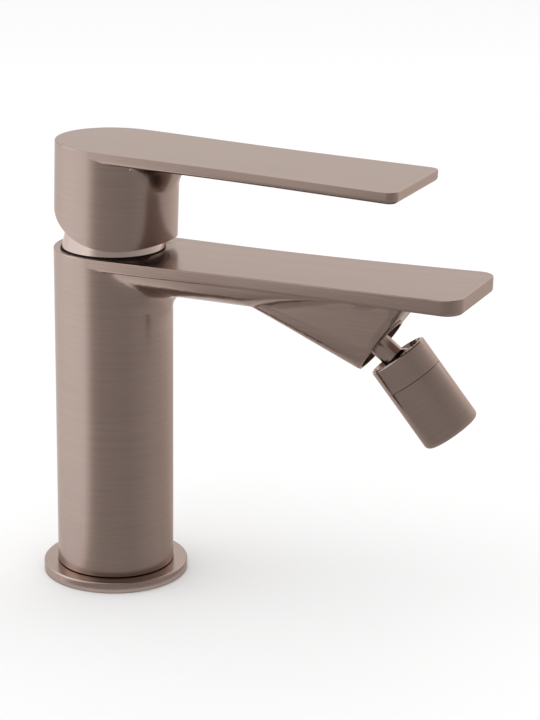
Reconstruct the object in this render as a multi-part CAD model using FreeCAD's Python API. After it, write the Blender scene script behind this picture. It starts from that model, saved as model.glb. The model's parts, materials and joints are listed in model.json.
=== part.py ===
import FreeCAD, Part
import math
import os

# Single lever bidet mixer tap, in millimetres.
# The origin is on the column's axis at the deck, +Z is up and the spout points along +X.

# Base flange and deck seal
flange_radius = 28.0
flange_thickness = 4.0
flange_edge_round = 0.7
gasket_inner_radius = 18.5
gasket_outer_radius = 25.0
gasket_thickness = 1.6
base_ring_section = 1.0
base_ring_radius = 19.0

# Column and the chamber for hoses and fixing stud
column_radius = 22.5
column_foot_chamfer = 0.4
body_top = 129.7
chamber_radius = 13.0
chamber_top = 92.0
inlet_thread_radius = 4.5
inlet_thread_length = 12.0
inlet_passage_radius = 3.2
inlet_offset_x = 4.5
inlet_offset_y = 7.0
stud_thread_radius = 3.4
stud_thread_length = 10.0
stud_offset_x = -9.0

# Spout plate, seen from above as a tongue that flares to its tip, and rising very slightly
spout_thickness = 4.7
spout_rise_radius = 5600.0
spout_tip_x = 144.3
spout_waist_x = 55.0
spout_waist_half = 21.2
spout_tip_half = 22.2
spout_corner_radius = 6.5
top_edge_round = 0.4
spout_lower_round = 1.5

# Belly under the spout plate, which carries the water
belly_half_width = 20.6
belly_depth = 10.2
belly_full_x = 62.0
belly_end_x = 96.0
belly_end_depth = 0.8
belly_root_fillet = 10.0

# Outlet wedge, which turns the water towards the user
outlet_x = 108.0
outlet_z = 105.4
outlet_slope = 36.0
outlet_radius = 11.8
outlet_bore_radius = 10.5
outlet_bore_depth = 12.0
outlet_lip_height = 0.6
outlet_lip_inset = 0.25
wedge_start_x = 56.0
wedge_break_x = 62.5
wedge_corner_radius = 3.0
wedge_fillet = 4.5
outlet_pocket_radius = 7.0
outlet_pocket_depth = 20.0

# Waterway: a flat throat from the cartridge cavity, then a wide and a narrow hollow to the outlet
throat_half_width = 6.0
throat_low = 117.5
throat_high = 121.5
hollow_start_x = 24.0
hollow_wall = 2.7
hollow_roof = 127.0
hollow_end_x = 92.0

# Cartridge cavity
cavity_floor = 106.0
cavity_radius = 17.7
nut_thread_radius = 18.5
nut_seat_z = 125.2

# Cartridge
cartridge_radius = 16.6
cartridge_collar_radius = 17.6
cartridge_collar_start = 121.8
cartridge_base_height = 5.0
port_radius = 3.2
port_seal_wall = 1.2
port_seal_gap = 0.8
disc_port_x = 4.7
disc_port_y = 3.83
disc_port_half = 0.7
disc_port_radius = 1.6
disc_seal_wall = 0.9
disc_seal_gap = 0.25
floor_seal_height = 0.9
disc_seal_height = 0.6
mixed_port_x = -3.0
mixed_port_radius = 3.2
mixed_port_floor = 1.2
mixed_window_half = 5.0
housing_inner_radius = 15.0
housing_shoulder_z = 124.6
housing_neck_radius = 13.5
housing_neck_inner_radius = 11.8
housing_top = 139.0
o_ring_section = 1.5
o_ring_z = 123.5
fixed_disc_radius = 14.6
fixed_disc_thickness = 3.2
moving_disc_radius = 11.8
moving_disc_thickness = 2.8
moving_disc_x = -2.6
mixing_hollow_x = -2.65
mixing_hollow_half = 0.4
mixing_hollow_radius = 3.4
mixing_hollow_depth = 1.6
carrier_plate_thickness = 2.2
carrier_block_half = 4.9
carrier_grip = 1.5
guide_flange_height = 4.8
guide_top = 138.4

# Lever spindle, with its own frame at the hinge pin
pivot_z = 133.0
rest_droop = 1.6
lift_angle = 25.0
pin_radius = 1.5
pin_inset = 0.5
spindle_arm = 11.5
spindle_ball_radius = 3.0
spindle_waist_radius = 2.0
spindle_square = 7.0
spindle_root_depth = 5.0
spindle_length = 28.0

# Cartridge nut and the conical cover over it
nut_hex_radius = 17.1
nut_top = 133.6
trim_seal_thickness = 0.4
trim_seal_setback = 0.35
trim_foot_radius = 19.45
trim_wall = 1.0
trim_taper = 13.6
trim_top = 142.4
trim_shoulder_round = 0.9
trim_opening_radius = 14.0

# Handle, in the spindle's frame
handle_top = 37.2
cup_offset = 1.0
cup_radius = 23.25
cup_wall = 2.95
cup_height = 36.7
cup_roof = 5.5
rocker_radius = 46.4
rocker_centre_forward = 10.0
lever_thickness = 4.4
lever_reach = 118.7
lever_waist_x = 50.0
lever_waist_half = 22.3
lever_tip_half = 23.4
lever_corner_radius = 3.6
lever_lower_round = 1.9
lever_root_fillet = 13.6
lever_root_half_angle = 52.0
lever_root_fade_angle = 55.0
lever_root_fullness = 0.8
lever_root_sections = 11
socket_boss_radius = 7.5
socket_boss_start = 13.0
bush_wall = 0.6
screw_height = 22.5
screw_radius = 2.5
screw_length = 12.0
screw_boss_radius = 4.0
screw_key_radius = 1.25
screw_key_depth = 3.0
plug_radius = 3.5
plug_depth = 3.0
plug_setback = 0.15

# Ball stem, in the outlet's frame
stem_recess = 4.5
stem_thread_length = 6.0
stem_neck_radius = 4.3
stem_bore_radius = 2.8
stem_key_hole_radius = 1.0
stem_key_hole_depth = 1.5
ball_distance = 13.2
ball_radius = 7.4
washer_bore_radius = 7.5

# Aerator casing, in the frame of its own axis with the ball's centre as origin
swivel_pitch = 16.31
swivel_yaw = -5.25
casing_radius = 11.22
casing_mouth = 6.3
casing_seam = 3.9
casing_end = 28.5
casing_bottom_round = 1.9
casing_mouth_round = 0.7
mouth_wall = 1.3
mouth_depth = 3.0
liner_thickness = 0.65
liner_top_angle = 58.0
liner_bottom_angle = 87.0
lip_height = 4.4
spigot_radius = 9.9
spigot_bore_radius = 8.9
spigot_start = 0.5
casing_seal_height = 0.9
seat_top = 2.7
seat_bottom = 5.4
seat_bore_radius = 4.6
casing_web_top = 6.0
casing_throat_radius = 6.5
aerator_seat = 13.0
aerator_chamber_radius = 9.6
aerator_washer_height = 1.2
screen_height = 0.5
insert_wall = 1.3
insert_end = 26.4
insert_rib_height = 9.0
straightener_height = 2.2
straightener_hole_radius = 0.85
straightener_pitch = 2.3

# Clearances
running_clearance = 0.06
film_clearance = 0.03
seat_clearance = 0.02
thread_clearance = 0.08
slide_clearance = 0.3
pocket_play = 0.12
guide_side_play = 0.08
seam_gap = 0.25

V = FreeCAD.Vector
X_AXIS = V(1, 0, 0)
Y_AXIS = V(0, 1, 0)
Z_AXIS = V(0, 0, 1)


def tube(outer, inner, low, high):
    """A plain ring about the Z axis."""
    return rod(outer, low, high).cut(rod(inner, low - 1, high + 1))


def rod(radius, low, high, x=0.0, y=0.0):
    """A cylinder along Z."""
    return Part.makeCylinder(radius, high - low, V(x, y, low), Z_AXIS)


def box(low, high):
    """A box between two corners."""
    return Part.makeBox(high[0] - low[0], high[1] - low[1], high[2] - low[2], V(*low))


def ring_seal(radius, section, z):
    """A round section seal about the Z axis, radius to the section's centre."""
    return Part.makeTorus(radius, section / 2, V(0, 0, z), Z_AXIS)


def revolved(points):
    """A solid of revolution about Z from corner points (radius, height)."""
    corners = [V(r, 0, z) for r, z in points]
    face = Part.Face(Part.makePolygon(corners + corners[:1]))
    return face.revolve(V(0, 0, 0), Z_AXIS, 360)


def edges_at(shape, low, high):
    """The edges that lie between two heights."""
    picked = []
    for edge in shape.Edges:
        if edge.BoundBox.ZMin > low and edge.BoundBox.ZMax < high:
            picked.append(edge)
    return picked


def round_edges(shape, radius, low, high):
    """Rounds every edge that lies between two heights."""
    return shape.makeFillet(radius, edges_at(shape, low, high))


def tongue_outline(centre_x, back_radius, waist, tip_x, tip_half, corner, z):
    """Half circle at the back, two gently waisted sides, a flat tip with round corners."""
    waist_x, waist_half = waist
    sides = {}
    for side in (-1, 1):
        curve = Part.BSplineCurve()
        points = [
            V(centre_x, side * back_radius, z),
            V(waist_x, side * waist_half, z),
            V(tip_x - corner, side * tip_half, z),
        ]
        flare = V(1, side * (tip_half - waist_half) / (tip_x - waist_x), 0)
        curve.interpolate(Points=points, InitialTangent=X_AXIS, FinalTangent=flare)
        sides[side] = curve.toShape()
    near = Part.Arc(
        V(tip_x - corner, -tip_half, z),
        V(tip_x - corner * (1 - math.sqrt(0.5)), -tip_half + corner * (1 - math.sqrt(0.5)), z),
        V(tip_x, -tip_half + corner, z),
    )
    far = Part.Arc(
        V(tip_x, tip_half - corner, z),
        V(tip_x - corner * (1 - math.sqrt(0.5)), tip_half - corner * (1 - math.sqrt(0.5)), z),
        V(tip_x - corner, tip_half, z),
    )
    tip = Part.LineSegment(V(tip_x, -tip_half + corner, z), V(tip_x, tip_half - corner, z))
    back = Part.Arc(
        V(centre_x, back_radius, z),
        V(centre_x - back_radius, 0, z),
        V(centre_x, -back_radius, z),
    )
    return Part.Wire([sides[-1], near.toShape(), tip.toShape(), far.toShape(), sides[1], back.toShape()])


def tongue_slab(outline, low, high, upper_round, lower_round, envelope=None):
    """The outline as a slab, cut to an envelope if given, crisp above and softer below."""
    slab = Part.Face(outline).extrude(V(0, 0, high - low))
    if envelope:
        slab = slab.common(envelope)
    middle = (low + high) / 2
    slab = round_edges(slab, upper_round, middle, high + 1)
    return round_edges(slab, lower_round, low - 1, middle)


def rising_block():
    """A block whose top is level over the column and then curves up a little along the spout."""
    radius = spout_rise_radius
    start = column_radius
    points = []
    for along in (0, spout_tip_x / 2, spout_tip_x):
        rise = radius - math.sqrt(radius ** 2 - along ** 2)
        points.append(V(start + along, -spout_tip_x, body_top + rise))
    outer = [
        points[2],
        V(points[2].x, -spout_tip_x, plate_under - 1),
        V(-2 * start, -spout_tip_x, plate_under - 1),
        V(-2 * start, -spout_tip_x, body_top),
        points[0],
    ]
    profile = Part.Wire([Part.Arc(*points).toShape()] + Part.makePolygon(outer).Edges)
    return Part.Face(profile).extrude(V(0, 2 * spout_tip_x, 0))


def belly_section(x, half, depth, roof):
    """A half ellipse below the plate's underside, closed by straight sides and a flat roof."""
    ellipse = Part.Ellipse(V(x, half, plate_under), V(x, 0, plate_under - depth), V(x, 0, plate_under))
    lower = ellipse.toShape(0, math.pi)
    rim = Part.makePolygon([
        V(x, -half, plate_under),
        V(x, -half, roof),
        V(x, half, roof),
        V(x, half, plate_under),
    ])
    return Part.Wire([lower] + rim.Edges)


def u_wire(left_top, turns, floor, right_top):
    """A closed U: two sides, two turned corners with a floor between them, and a lid."""
    edges = [
        Part.LineSegment(left_top, turns[0][0]).toShape(),
        Part.Arc(*turns[0]).toShape(),
        floor,
        Part.Arc(*turns[1]).toShape(),
        Part.LineSegment(turns[1][2], right_top).toShape(),
        Part.LineSegment(right_top, left_top).toShape(),
    ]
    return Part.Wire(edges)


def wedge_start():
    """The wedge's section where it leaves the belly, upright, with a nearly flat floor."""
    x = wedge_start_x
    half = outlet_radius
    corner = wedge_corner_radius
    bend = corner * (1 - math.sqrt(0.5))
    fall = (belly_floor - outlet_low_z) / (outlet_low_x - wedge_break_x)
    floor_z = belly_floor + fall * (wedge_break_x - x)
    turns = []
    for side in (-1, 1):
        turn = [
            V(x, side * half, floor_z + corner),
            V(x, side * (half - bend), floor_z + bend),
            V(x, side * (half - corner), floor_z),
        ]
        turns.append(turn[::-side])
    floor = Part.LineSegment(turns[0][2], turns[1][0]).toShape()
    return u_wire(V(x, -half, plate_middle), turns, floor, V(x, half, plate_middle))


def wedge_end():
    """The wedge's section at the outlet: a half circle with straight sides up to the plate."""
    rise = (plate_middle - outlet_z) / math.cos(math.radians(outlet_slope))
    points = []
    for step in range(7):
        angle = math.radians(30 * step)
        points.append(V(outlet_radius * math.sin(angle), -outlet_radius * math.cos(angle), 0))
    floor = Part.Arc(points[2], points[3], points[4]).toShape()
    wire = u_wire(
        V(-rise, -outlet_radius, 0),
        [points[0:3], points[4:7]],
        floor,
        V(-rise, outlet_radius, 0),
    )
    wire.Placement = outlet_frame
    return wire


def spout_casting():
    """Column, spout plate, belly and wedge in one piece, before any hole is made."""
    outline = tongue_outline(
        0.0,
        column_radius,
        (spout_waist_x, spout_waist_half),
        spout_tip_x,
        spout_tip_half,
        spout_corner_radius,
        plate_under,
    )
    high = body_top + spout_thickness / 2
    plate = tongue_slab(outline, plate_under, high, top_edge_round, spout_lower_round, rising_block())
    column = rod(column_radius, flange_thickness, plate_middle)
    column = column.makeChamfer(column_foot_chamfer, edges_at(column, 0, flange_thickness + 0.01))
    places = [(0, belly_depth), (belly_full_x, belly_depth), (belly_end_x, belly_end_depth)]
    sections = [belly_section(x, belly_half_width, depth, plate_middle) for x, depth in places]
    belly = Part.makeLoft(sections, True, True)
    wedge = Part.makeLoft([wedge_start(), wedge_end()], True, True)
    lip = tube(outlet_radius - outlet_lip_inset, outlet_bore_radius, -1.0, outlet_lip_height)
    lip.Placement = outlet_frame
    casting = column.fuse([belly, wedge]).removeSplitter()
    casting = blend_root(casting)
    return casting.fuse([plate, wedge_blend(), lip]).removeSplitter()


def wedge_blend():
    """The concave fillet between the outlet's plane and the plate's underside."""
    rise = (plate_under - outlet_z) / math.cos(outlet_fall)
    corner = outlet_frame.multVec(V(-rise, 0, 0))
    along = outlet_frame.Rotation.multVec(X_AXIS)
    bend = math.pi / 2 - outlet_fall
    reach = wedge_fillet * math.tan(bend / 2)
    centre = corner + V(reach, 0, -wedge_fillet)
    toward = corner - centre
    middle = centre + toward.normalize() * wedge_fillet
    low = corner + along * reach
    high = corner + V(reach, 0, 0)
    inside = corner + V(-top_edge_round, 0, top_edge_round)
    sides = [
        Part.Arc(low, middle, high).toShape(),
        Part.LineSegment(high, inside).toShape(),
        Part.LineSegment(inside, low).toShape(),
    ]
    profile = Part.Face(Part.Wire(sides))
    profile.translate(V(0, -outlet_radius, 0))
    return profile.extrude(V(0, 2 * outlet_radius, 0))


def blend_root(casting):
    """Fillets the corner where the belly leaves the column."""
    root = []
    for edge in casting.Edges:
        bounds = edge.BoundBox
        in_front = bounds.XMin > 1.0 and bounds.XMax < column_radius + 0.1
        if in_front and bounds.ZMin > belly_floor - 1 and bounds.ZMax < plate_middle and bounds.ZLength > 1:
            root.append(edge)
    return casting.makeFillet(belly_root_fillet, root)


def body():
    """The brass body with its hose chamber, inlets, cartridge cavity, waterway and outlet."""
    shape = spout_casting()
    cuts = [
        rod(chamber_radius, flange_thickness - 1, chamber_top),
        rod(stud_thread_radius, chamber_top - 1, chamber_top + stud_thread_length, stud_offset_x),
        rod(cavity_radius, cavity_floor, body_top + 1),
        rod(nut_thread_radius, nut_seat_z, body_top + 1),
    ]
    cuts.extend(waterway())
    for place in inlet_places():
        cuts.append(rod(inlet_thread_radius, chamber_top - 1, chamber_top + inlet_thread_length, *place))
        cuts.append(rod(inlet_passage_radius, chamber_top, cavity_floor + 1, *place))
    bore = rod(outlet_bore_radius, -outlet_bore_depth, outlet_lip_height + 1)
    pocket = rod(outlet_pocket_radius, -outlet_pocket_depth, 0)
    for hole in (bore, pocket):
        hole.Placement = outlet_frame
        cuts.append(hole)
    return shape.cut(cuts)


def waterway():
    """The throat and the two hollows, each as a solid to be cut from the casting."""
    throat = box((0, -throat_half_width, throat_low), (hollow_start_x + 1, throat_half_width, throat_high))
    half = belly_half_width - hollow_wall
    depth = belly_depth - hollow_wall
    sections = [belly_section(x, half, depth, hollow_roof) for x in (hollow_start_x, belly_full_x)]
    wide = Part.makeLoft(sections, True, True)
    narrow_half = outlet_radius - hollow_wall
    narrow = box(
        (belly_full_x - 1, -narrow_half, belly_floor + hollow_wall),
        (hollow_end_x, narrow_half, hollow_roof),
    )
    return [throat, wide, narrow]


def base_flange():
    """The loose flange between column and deck, grooved for its gasket and seal ring."""
    ring = tube(flange_radius, chamber_radius, 0, flange_thickness)
    rim = []
    for edge in edges_at(ring, flange_thickness - 0.01, flange_thickness + 0.01):
        if edge.BoundBox.XMax > chamber_radius + 1:
            rim.append(edge)
    ring = ring.makeFillet(flange_edge_round, rim)
    groove = tube(
        gasket_outer_radius + seat_clearance,
        gasket_inner_radius - seat_clearance,
        -1,
        gasket_thickness,
    )
    seal_groove = tube(
        base_ring_radius + base_ring_section / 2 + seat_clearance,
        base_ring_radius - base_ring_section / 2 - seat_clearance,
        flange_thickness - base_ring_section - 2 * seat_clearance,
        flange_thickness + 1,
    )
    return ring.cut([groove, seal_groove])


def base_gasket():
    """The rubber gasket under the flange."""
    return tube(gasket_outer_radius, gasket_inner_radius, 0, gasket_thickness)


def base_seal_ring():
    """The seal ring between flange and column."""
    z = flange_thickness - base_ring_section / 2 - seat_clearance
    return ring_seal(base_ring_radius, base_ring_section, z)


def inlet_places():
    """The axes of the two inlets."""
    return [(inlet_offset_x, -inlet_offset_y), (inlet_offset_x, inlet_offset_y)]


def disc_port_places():
    """The centres of the two inlet ports in the fixed disc."""
    return [(disc_port_x, -disc_port_y), (disc_port_x, disc_port_y)]


def washer(inner, wall, low, high, place, spread=0.0):
    """A flat seal ring round an upright axis, or with spread the groove for it."""
    ring = rod(inner + wall + spread, low, high, *place)
    return ring.cut(rod(inner - spread, low - 1, high + 1, *place))


def floor_ring(place, low, high, spread=0.0):
    """A seal ring round an inlet on the cavity's floor, or its groove."""
    return washer(port_radius + port_seal_gap, port_seal_wall, low, high, place, spread)


def disc_ring(place, low, high, spread=0.0):
    """A seal ring round a port under the fixed disc, or its groove."""
    inner = disc_port_half + disc_port_radius + disc_seal_gap
    return washer(inner, disc_seal_wall, low, high, place, spread)


def slot(radius, half, low, high, x, y):
    """A hole with round ends, its length along Y."""
    ends = [rod(radius, low, high, x, y + way * half) for way in (-1, 1)]
    return box((x - radius, y - half, low), (x + radius, y + half, high)).fuse(ends)


def disc_port(place, low, high):
    """An inlet port of the fixed disc."""
    return slot(disc_port_radius, disc_port_half, low, high, *place)


def cartridge_base():
    """The cartridge's foot: two stepped inlet ports and a mixed port that opens at its side."""
    shape = rod(cartridge_radius, cavity_floor, base_top)
    middle = (cavity_floor + base_top) / 2
    groove_top = cavity_floor + floor_seal_height + seat_clearance
    groove_floor = base_top - disc_seal_height - seat_clearance
    cuts = []
    for place in inlet_places():
        cuts.append(rod(port_radius, cavity_floor - 1, middle + 1, *place))
        cuts.append(floor_ring(place, cavity_floor - 1, groove_top, seat_clearance))
    for place in disc_port_places():
        cuts.append(disc_port(place, middle - 1, base_top + 1))
        cuts.append(disc_ring(place, groove_floor, base_top + 1, seat_clearance))
    port_low = cavity_floor + mixed_port_floor
    cuts.append(rod(mixed_port_radius, port_low, base_top + 1, mixed_port_x))
    cuts.append(box(
        (-cartridge_radius - 1, -mixed_window_half, port_low),
        (mixed_port_x, mixed_window_half, base_top - mixed_port_floor),
    ))
    return shape.cut(cuts)


def base_seals():
    """Seal rings between the cartridge and the body's inlets."""
    top = cavity_floor + floor_seal_height
    return Part.makeCompound([floor_ring(place, cavity_floor, top) for place in inlet_places()])


def disc_seals():
    """Seal rings between the cartridge's foot and the fixed ceramic disc."""
    low = base_top - disc_seal_height
    return Part.makeCompound([disc_ring(place, low, base_top) for place in disc_port_places()])


def fixed_disc():
    """The ceramic disc that stays put, with two inlet slots and the mixed port."""
    shape = rod(fixed_disc_radius, base_top, fixed_disc_top)
    cuts = [rod(mixed_port_radius, base_top - 1, fixed_disc_top + 1, mixed_port_x)]
    for place in disc_port_places():
        cuts.append(disc_port(place, base_top - 1, fixed_disc_top + 1))
    return shape.cut(cuts)


def moving_disc():
    """The ceramic disc that slides and turns, with a hollow that joins the ports."""
    low = fixed_disc_top + film_clearance
    shape = rod(moving_disc_radius, low, moving_disc_top, moving_disc_x)
    hollow = slot(
        mixing_hollow_radius,
        mixing_hollow_half,
        low - 1,
        low + mixing_hollow_depth,
        mixing_hollow_x,
        0,
    )
    return shape.cut(hollow)


def disc_carrier():
    """The slider on the moving disc, with a pocket for the spindle's ball end."""
    plate = rod(moving_disc_radius, moving_disc_top, carrier_plate_top, moving_disc_x)
    half = carrier_block_half
    block = box(
        (spindle_tip_x - half, -half, moving_disc_top),
        (spindle_tip_x + half, half, carrier_block_top),
    )
    pocket = rod(
        spindle_ball_radius + pocket_play,
        spindle_tip_z - spindle_ball_radius - seat_clearance,
        carrier_block_top + 1,
        spindle_tip_x,
    )
    return plate.fuse(block).removeSplitter().cut(pocket)


def cartridge_housing():
    """The cartridge's shell: a wide barrel, a collar that seals in the body and a neck."""
    shape = revolved([
        (housing_inner_radius, base_top),
        (cartridge_radius, base_top),
        (cartridge_radius, cartridge_collar_start),
        (cartridge_collar_radius, cartridge_collar_start),
        (cartridge_collar_radius, nut_seat_z),
        (housing_neck_radius, nut_seat_z),
        (housing_neck_radius, housing_top),
        (housing_neck_inner_radius, housing_top),
        (housing_neck_inner_radius, housing_shoulder_z),
        (housing_inner_radius, housing_shoulder_z),
    ])
    groove = tube(
        cavity_radius + 1,
        cavity_radius - o_ring_section - 2 * seat_clearance,
        o_ring_z - o_ring_section / 2 - seat_clearance,
        o_ring_z + o_ring_section / 2 + seat_clearance,
    )
    return shape.cut(groove)


def cartridge_o_ring():
    """The seal between the cartridge's collar and the cavity wall."""
    return ring_seal(cavity_radius - o_ring_section / 2 - seat_clearance, o_ring_section, o_ring_z)


def spindle_guide():
    """The turret that turns with the handle and carries the spindle's hinge pin."""
    low = carrier_plate_top + slide_clearance
    flange_top = low + guide_flange_height
    flange = rod(housing_inner_radius - running_clearance, low, flange_top)
    turret = rod(housing_neck_inner_radius - running_clearance, low, guide_top)
    shape = flange.fuse(turret).removeSplitter()
    block_room = carrier_block_half + slide_clearance
    block_top = carrier_block_top + slide_clearance
    half = spindle_square / 2 + guide_side_play
    tilt = math.radians(lift_angle - rest_droop)
    lean = math.tan(tilt)
    broad = spindle_square / 2 / math.cos(tilt) + slide_clearance
    upper = (guide_top - pivot_z) * lean + broad
    lower = (pivot_z - carrier_block_top) * lean + broad
    cuts = [
        box(
            (spindle_tip_x - block_room, -carrier_block_half - guide_side_play, low - 1),
            (spindle_tip_x + slide_travel + block_room, carrier_block_half + guide_side_play, block_top),
        ),
        box((-broad - slide_clearance, -half, low - 1), (lower, half, pivot_z)),
        box((-upper, -half, pivot_z - spindle_root_depth), (broad + slide_clearance, half, guide_top + 1)),
        pin_shape(pin_radius + seat_clearance, housing_neck_inner_radius + 1),
    ]
    return shape.cut(cuts)


def pin_shape(radius, half_length):
    """A cylinder along Y through the spindle's hinge."""
    return Part.makeCylinder(radius, 2 * half_length, V(0, -half_length, pivot_z), Y_AXIS)


def spindle_pin():
    """The hinge pin of the lever spindle."""
    return pin_shape(pin_radius, housing_neck_inner_radius - pin_inset)


def lever_spindle():
    """The spindle: square stem above, ball end below, with a hole for the hinge pin."""
    half = spindle_square / 2
    stem = box((-half, -half, -spindle_root_depth), (half, half, spindle_length))
    waist = rod(spindle_waist_radius, -spindle_arm, -spindle_root_depth + 1)
    ball = Part.makeSphere(spindle_ball_radius, V(0, 0, -spindle_arm))
    hole = Part.makeCylinder(
        pin_radius + running_clearance, 2 * spindle_square, V(0, -spindle_square, 0), Y_AXIS
    )
    shape = stem.fuse([waist, ball]).cut(hole)
    shape.Placement = lever_frame
    return shape


def hexagon(radius, low, high):
    """A hexagonal prism along Z, radius to its corners."""
    corners = []
    for side in range(6):
        angle = math.radians(60 * side)
        corners.append(V(radius * math.cos(angle), radius * math.sin(angle), low))
    face = Part.Face(Part.makePolygon(corners + corners[:1]))
    return face.extrude(V(0, 0, high - low))


def cartridge_nut():
    """The nut that holds the cartridge down, threaded below and hexagonal above."""
    thread = rod(nut_thread_radius - thread_clearance, nut_seat_z, body_top)
    grip = hexagon(nut_hex_radius, body_top, nut_top)
    bore = rod(housing_neck_radius + thread_clearance, nut_seat_z - 1, nut_top + 1)
    return thread.fuse(grip).cut(bore)


def trim_seal():
    """The thin ring under the conical cover."""
    outer = trim_foot_radius - trim_seal_setback
    return tube(outer, nut_thread_radius + seat_clearance, body_top, body_top + trim_seal_thickness)


def trim_ring():
    """The conical cover over the cartridge nut."""
    foot = body_top + trim_seal_thickness
    lean = math.tan(math.radians(trim_taper))
    outer_top = trim_foot_radius - (trim_top - foot) * lean
    inner_top = outer_top - trim_wall + trim_wall * lean
    shape = revolved([
        (trim_foot_radius - trim_wall, foot),
        (trim_foot_radius, foot),
        (outer_top, trim_top),
        (trim_opening_radius, trim_top),
        (trim_opening_radius, trim_top - trim_wall),
        (inner_top, trim_top - trim_wall),
    ])
    shoulder = []
    for edge in edges_at(shape, trim_top - 0.01, trim_top + 0.01):
        if edge.BoundBox.XMax > trim_opening_radius + 0.5:
            shoulder.append(edge)
    return shape.makeFillet(trim_shoulder_round, shoulder)


def lever_root():
    """The concave blend under the lever, deepest in front of the cup and fading towards its sides."""
    under = handle_top - lever_thickness
    inside = cup_radius - cup_wall / 3
    sections = []
    for index in range(lever_root_sections):
        turn = lever_root_half_angle * (2 * index / (lever_root_sections - 1) - 1)
        fade = math.cos(math.radians(90 * turn / lever_root_fade_angle)) ** lever_root_fullness
        blend = lever_root_fillet * fade
        diagonal = blend * (1 - math.sqrt(0.5))
        low = V(cup_radius, 0, under - blend)
        middle = V(cup_radius + diagonal, 0, under - diagonal)
        high = V(cup_radius + blend, 0, under)
        corners = [high, V(cup_radius + blend, 0, under + top_edge_round), V(inside, 0, under + top_edge_round)]
        corners.extend([V(inside, 0, under - blend), low])
        section = Part.Wire([Part.Arc(low, middle, high).toShape()] + Part.makePolygon(corners).Edges)
        section.rotate(V(0, 0, 0), Z_AXIS, turn)
        sections.append(section)
    shape = Part.makeLoft(sections, True, False)
    shape.translate(V(cup_offset, 0, 0))
    return shape


def handle():
    """The lever handle: a cup with a rocker shaped rim, a flat lever and a socket boss inside."""
    outline = tongue_outline(
        cup_offset,
        cup_radius,
        (lever_waist_x, lever_waist_half),
        cup_offset + lever_reach,
        lever_tip_half,
        lever_corner_radius,
        handle_top - lever_thickness,
    )
    lever = tongue_slab(outline, handle_top - lever_thickness, handle_top, top_edge_round, lever_lower_round)
    low = handle_top - cup_height - 1
    cup = rod(cup_radius, low, handle_top - lever_thickness / 2, cup_offset)
    rocker_z = handle_top - cup_height + rocker_radius
    rocker = Part.makeCylinder(
        rocker_radius,
        4 * cup_radius,
        V(cup_offset + rocker_centre_forward, -2 * cup_radius, rocker_z),
        Y_AXIS,
    )
    shape = cup.common(rocker).fuse([lever, lever_root()]).removeSplitter()
    shape = shape.cut(rod(cup_radius - cup_wall, low - 1, handle_top - cup_roof, cup_offset))
    boss = rod(socket_boss_radius, socket_boss_start, handle_top - cup_roof + 1)
    outside = cup_offset - cup_radius
    arm = x_rod(screw_boss_radius, outside + cup_wall / 2, 0)
    shape = shape.fuse([boss, arm]).removeSplitter()
    half = spindle_square / 2 + bush_wall + 2 * seat_clearance
    socket = box(
        (-half, -half, socket_boss_start - 1),
        (half, half, spindle_length + slide_clearance),
    )
    screw_hole = x_rod(screw_radius, outside - 1, 0)
    plug_hole = x_rod(plug_radius, outside - 1, outside + plug_depth)
    shape = shape.cut([socket, screw_hole, plug_hole])
    shape.Placement = lever_frame
    return shape


def x_rod(radius, start, end):
    """A cylinder along X at the height of the handle's screw."""
    return Part.makeCylinder(radius, end - start, V(start, 0, screw_height), X_AXIS)


def spindle_bush():
    """The square plastic sleeve between spindle and handle."""
    half = spindle_square / 2 + bush_wall
    inner = spindle_square / 2 + seat_clearance
    low = socket_boss_start + slide_clearance
    shape = box((-half, -half, low), (half, half, spindle_length))
    shape = shape.cut(box((-inner, -inner, low - 1), (inner, inner, spindle_length + 1)))
    shape = shape.cut(x_rod(screw_radius, -spindle_square, 0))
    shape.Placement = lever_frame
    return shape


def handle_screw():
    """The grub screw that clamps the handle to the spindle."""
    tip = -spindle_square / 2 - seat_clearance
    shape = x_rod(screw_radius - running_clearance, tip - screw_length, tip)
    key = hexagon(screw_key_radius, 0, screw_key_depth + 1)
    key.rotate(V(0, 0, 0), Y_AXIS, 90)
    key.translate(V(tip - screw_length - 1, 0, screw_height))
    shape = shape.cut(key)
    shape.Placement = lever_frame
    return shape


def screw_plug():
    """The small plug over the grub screw, flush with the back of the cup."""
    outside = cup_offset - cup_radius
    shape = x_rod(plug_radius - seat_clearance, outside - 1, outside + plug_depth - seat_clearance)
    wall = rod(cup_radius - plug_setback, screw_height - 2 * plug_radius, screw_height + 2 * plug_radius)
    wall.translate(V(cup_offset, 0, 0))
    shape = shape.common(wall)
    shape.Placement = lever_frame
    return shape


def ball_stem():
    """The threaded plug in the outlet with a neck and the ball of the swivel joint."""
    start = -stem_recess - stem_thread_length
    thread = rod(outlet_bore_radius - thread_clearance, start, -stem_recess)
    neck = rod(stem_neck_radius, -stem_recess - 1, ball_distance)
    ball = Part.makeSphere(ball_radius, V(0, 0, ball_distance))
    shape = thread.fuse([neck, ball]).removeSplitter()
    key_place = (stem_neck_radius + outlet_bore_radius) / 2
    cuts = [rod(stem_bore_radius, start - 1, ball_distance + ball_radius + 1)]
    for side in (-1, 1):
        cuts.append(rod(
            stem_key_hole_radius, -stem_recess - stem_key_hole_depth, -stem_recess + 1, 0, side * key_place
        ))
    shape = shape.cut(cuts)
    shape.Placement = outlet_frame
    return shape


def outlet_washer():
    """The flat washer behind the ball stem."""
    shape = tube(
        outlet_bore_radius - thread_clearance,
        washer_bore_radius,
        -outlet_bore_depth,
        -stem_recess - stem_thread_length,
    )
    shape.Placement = outlet_frame
    return shape


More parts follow.
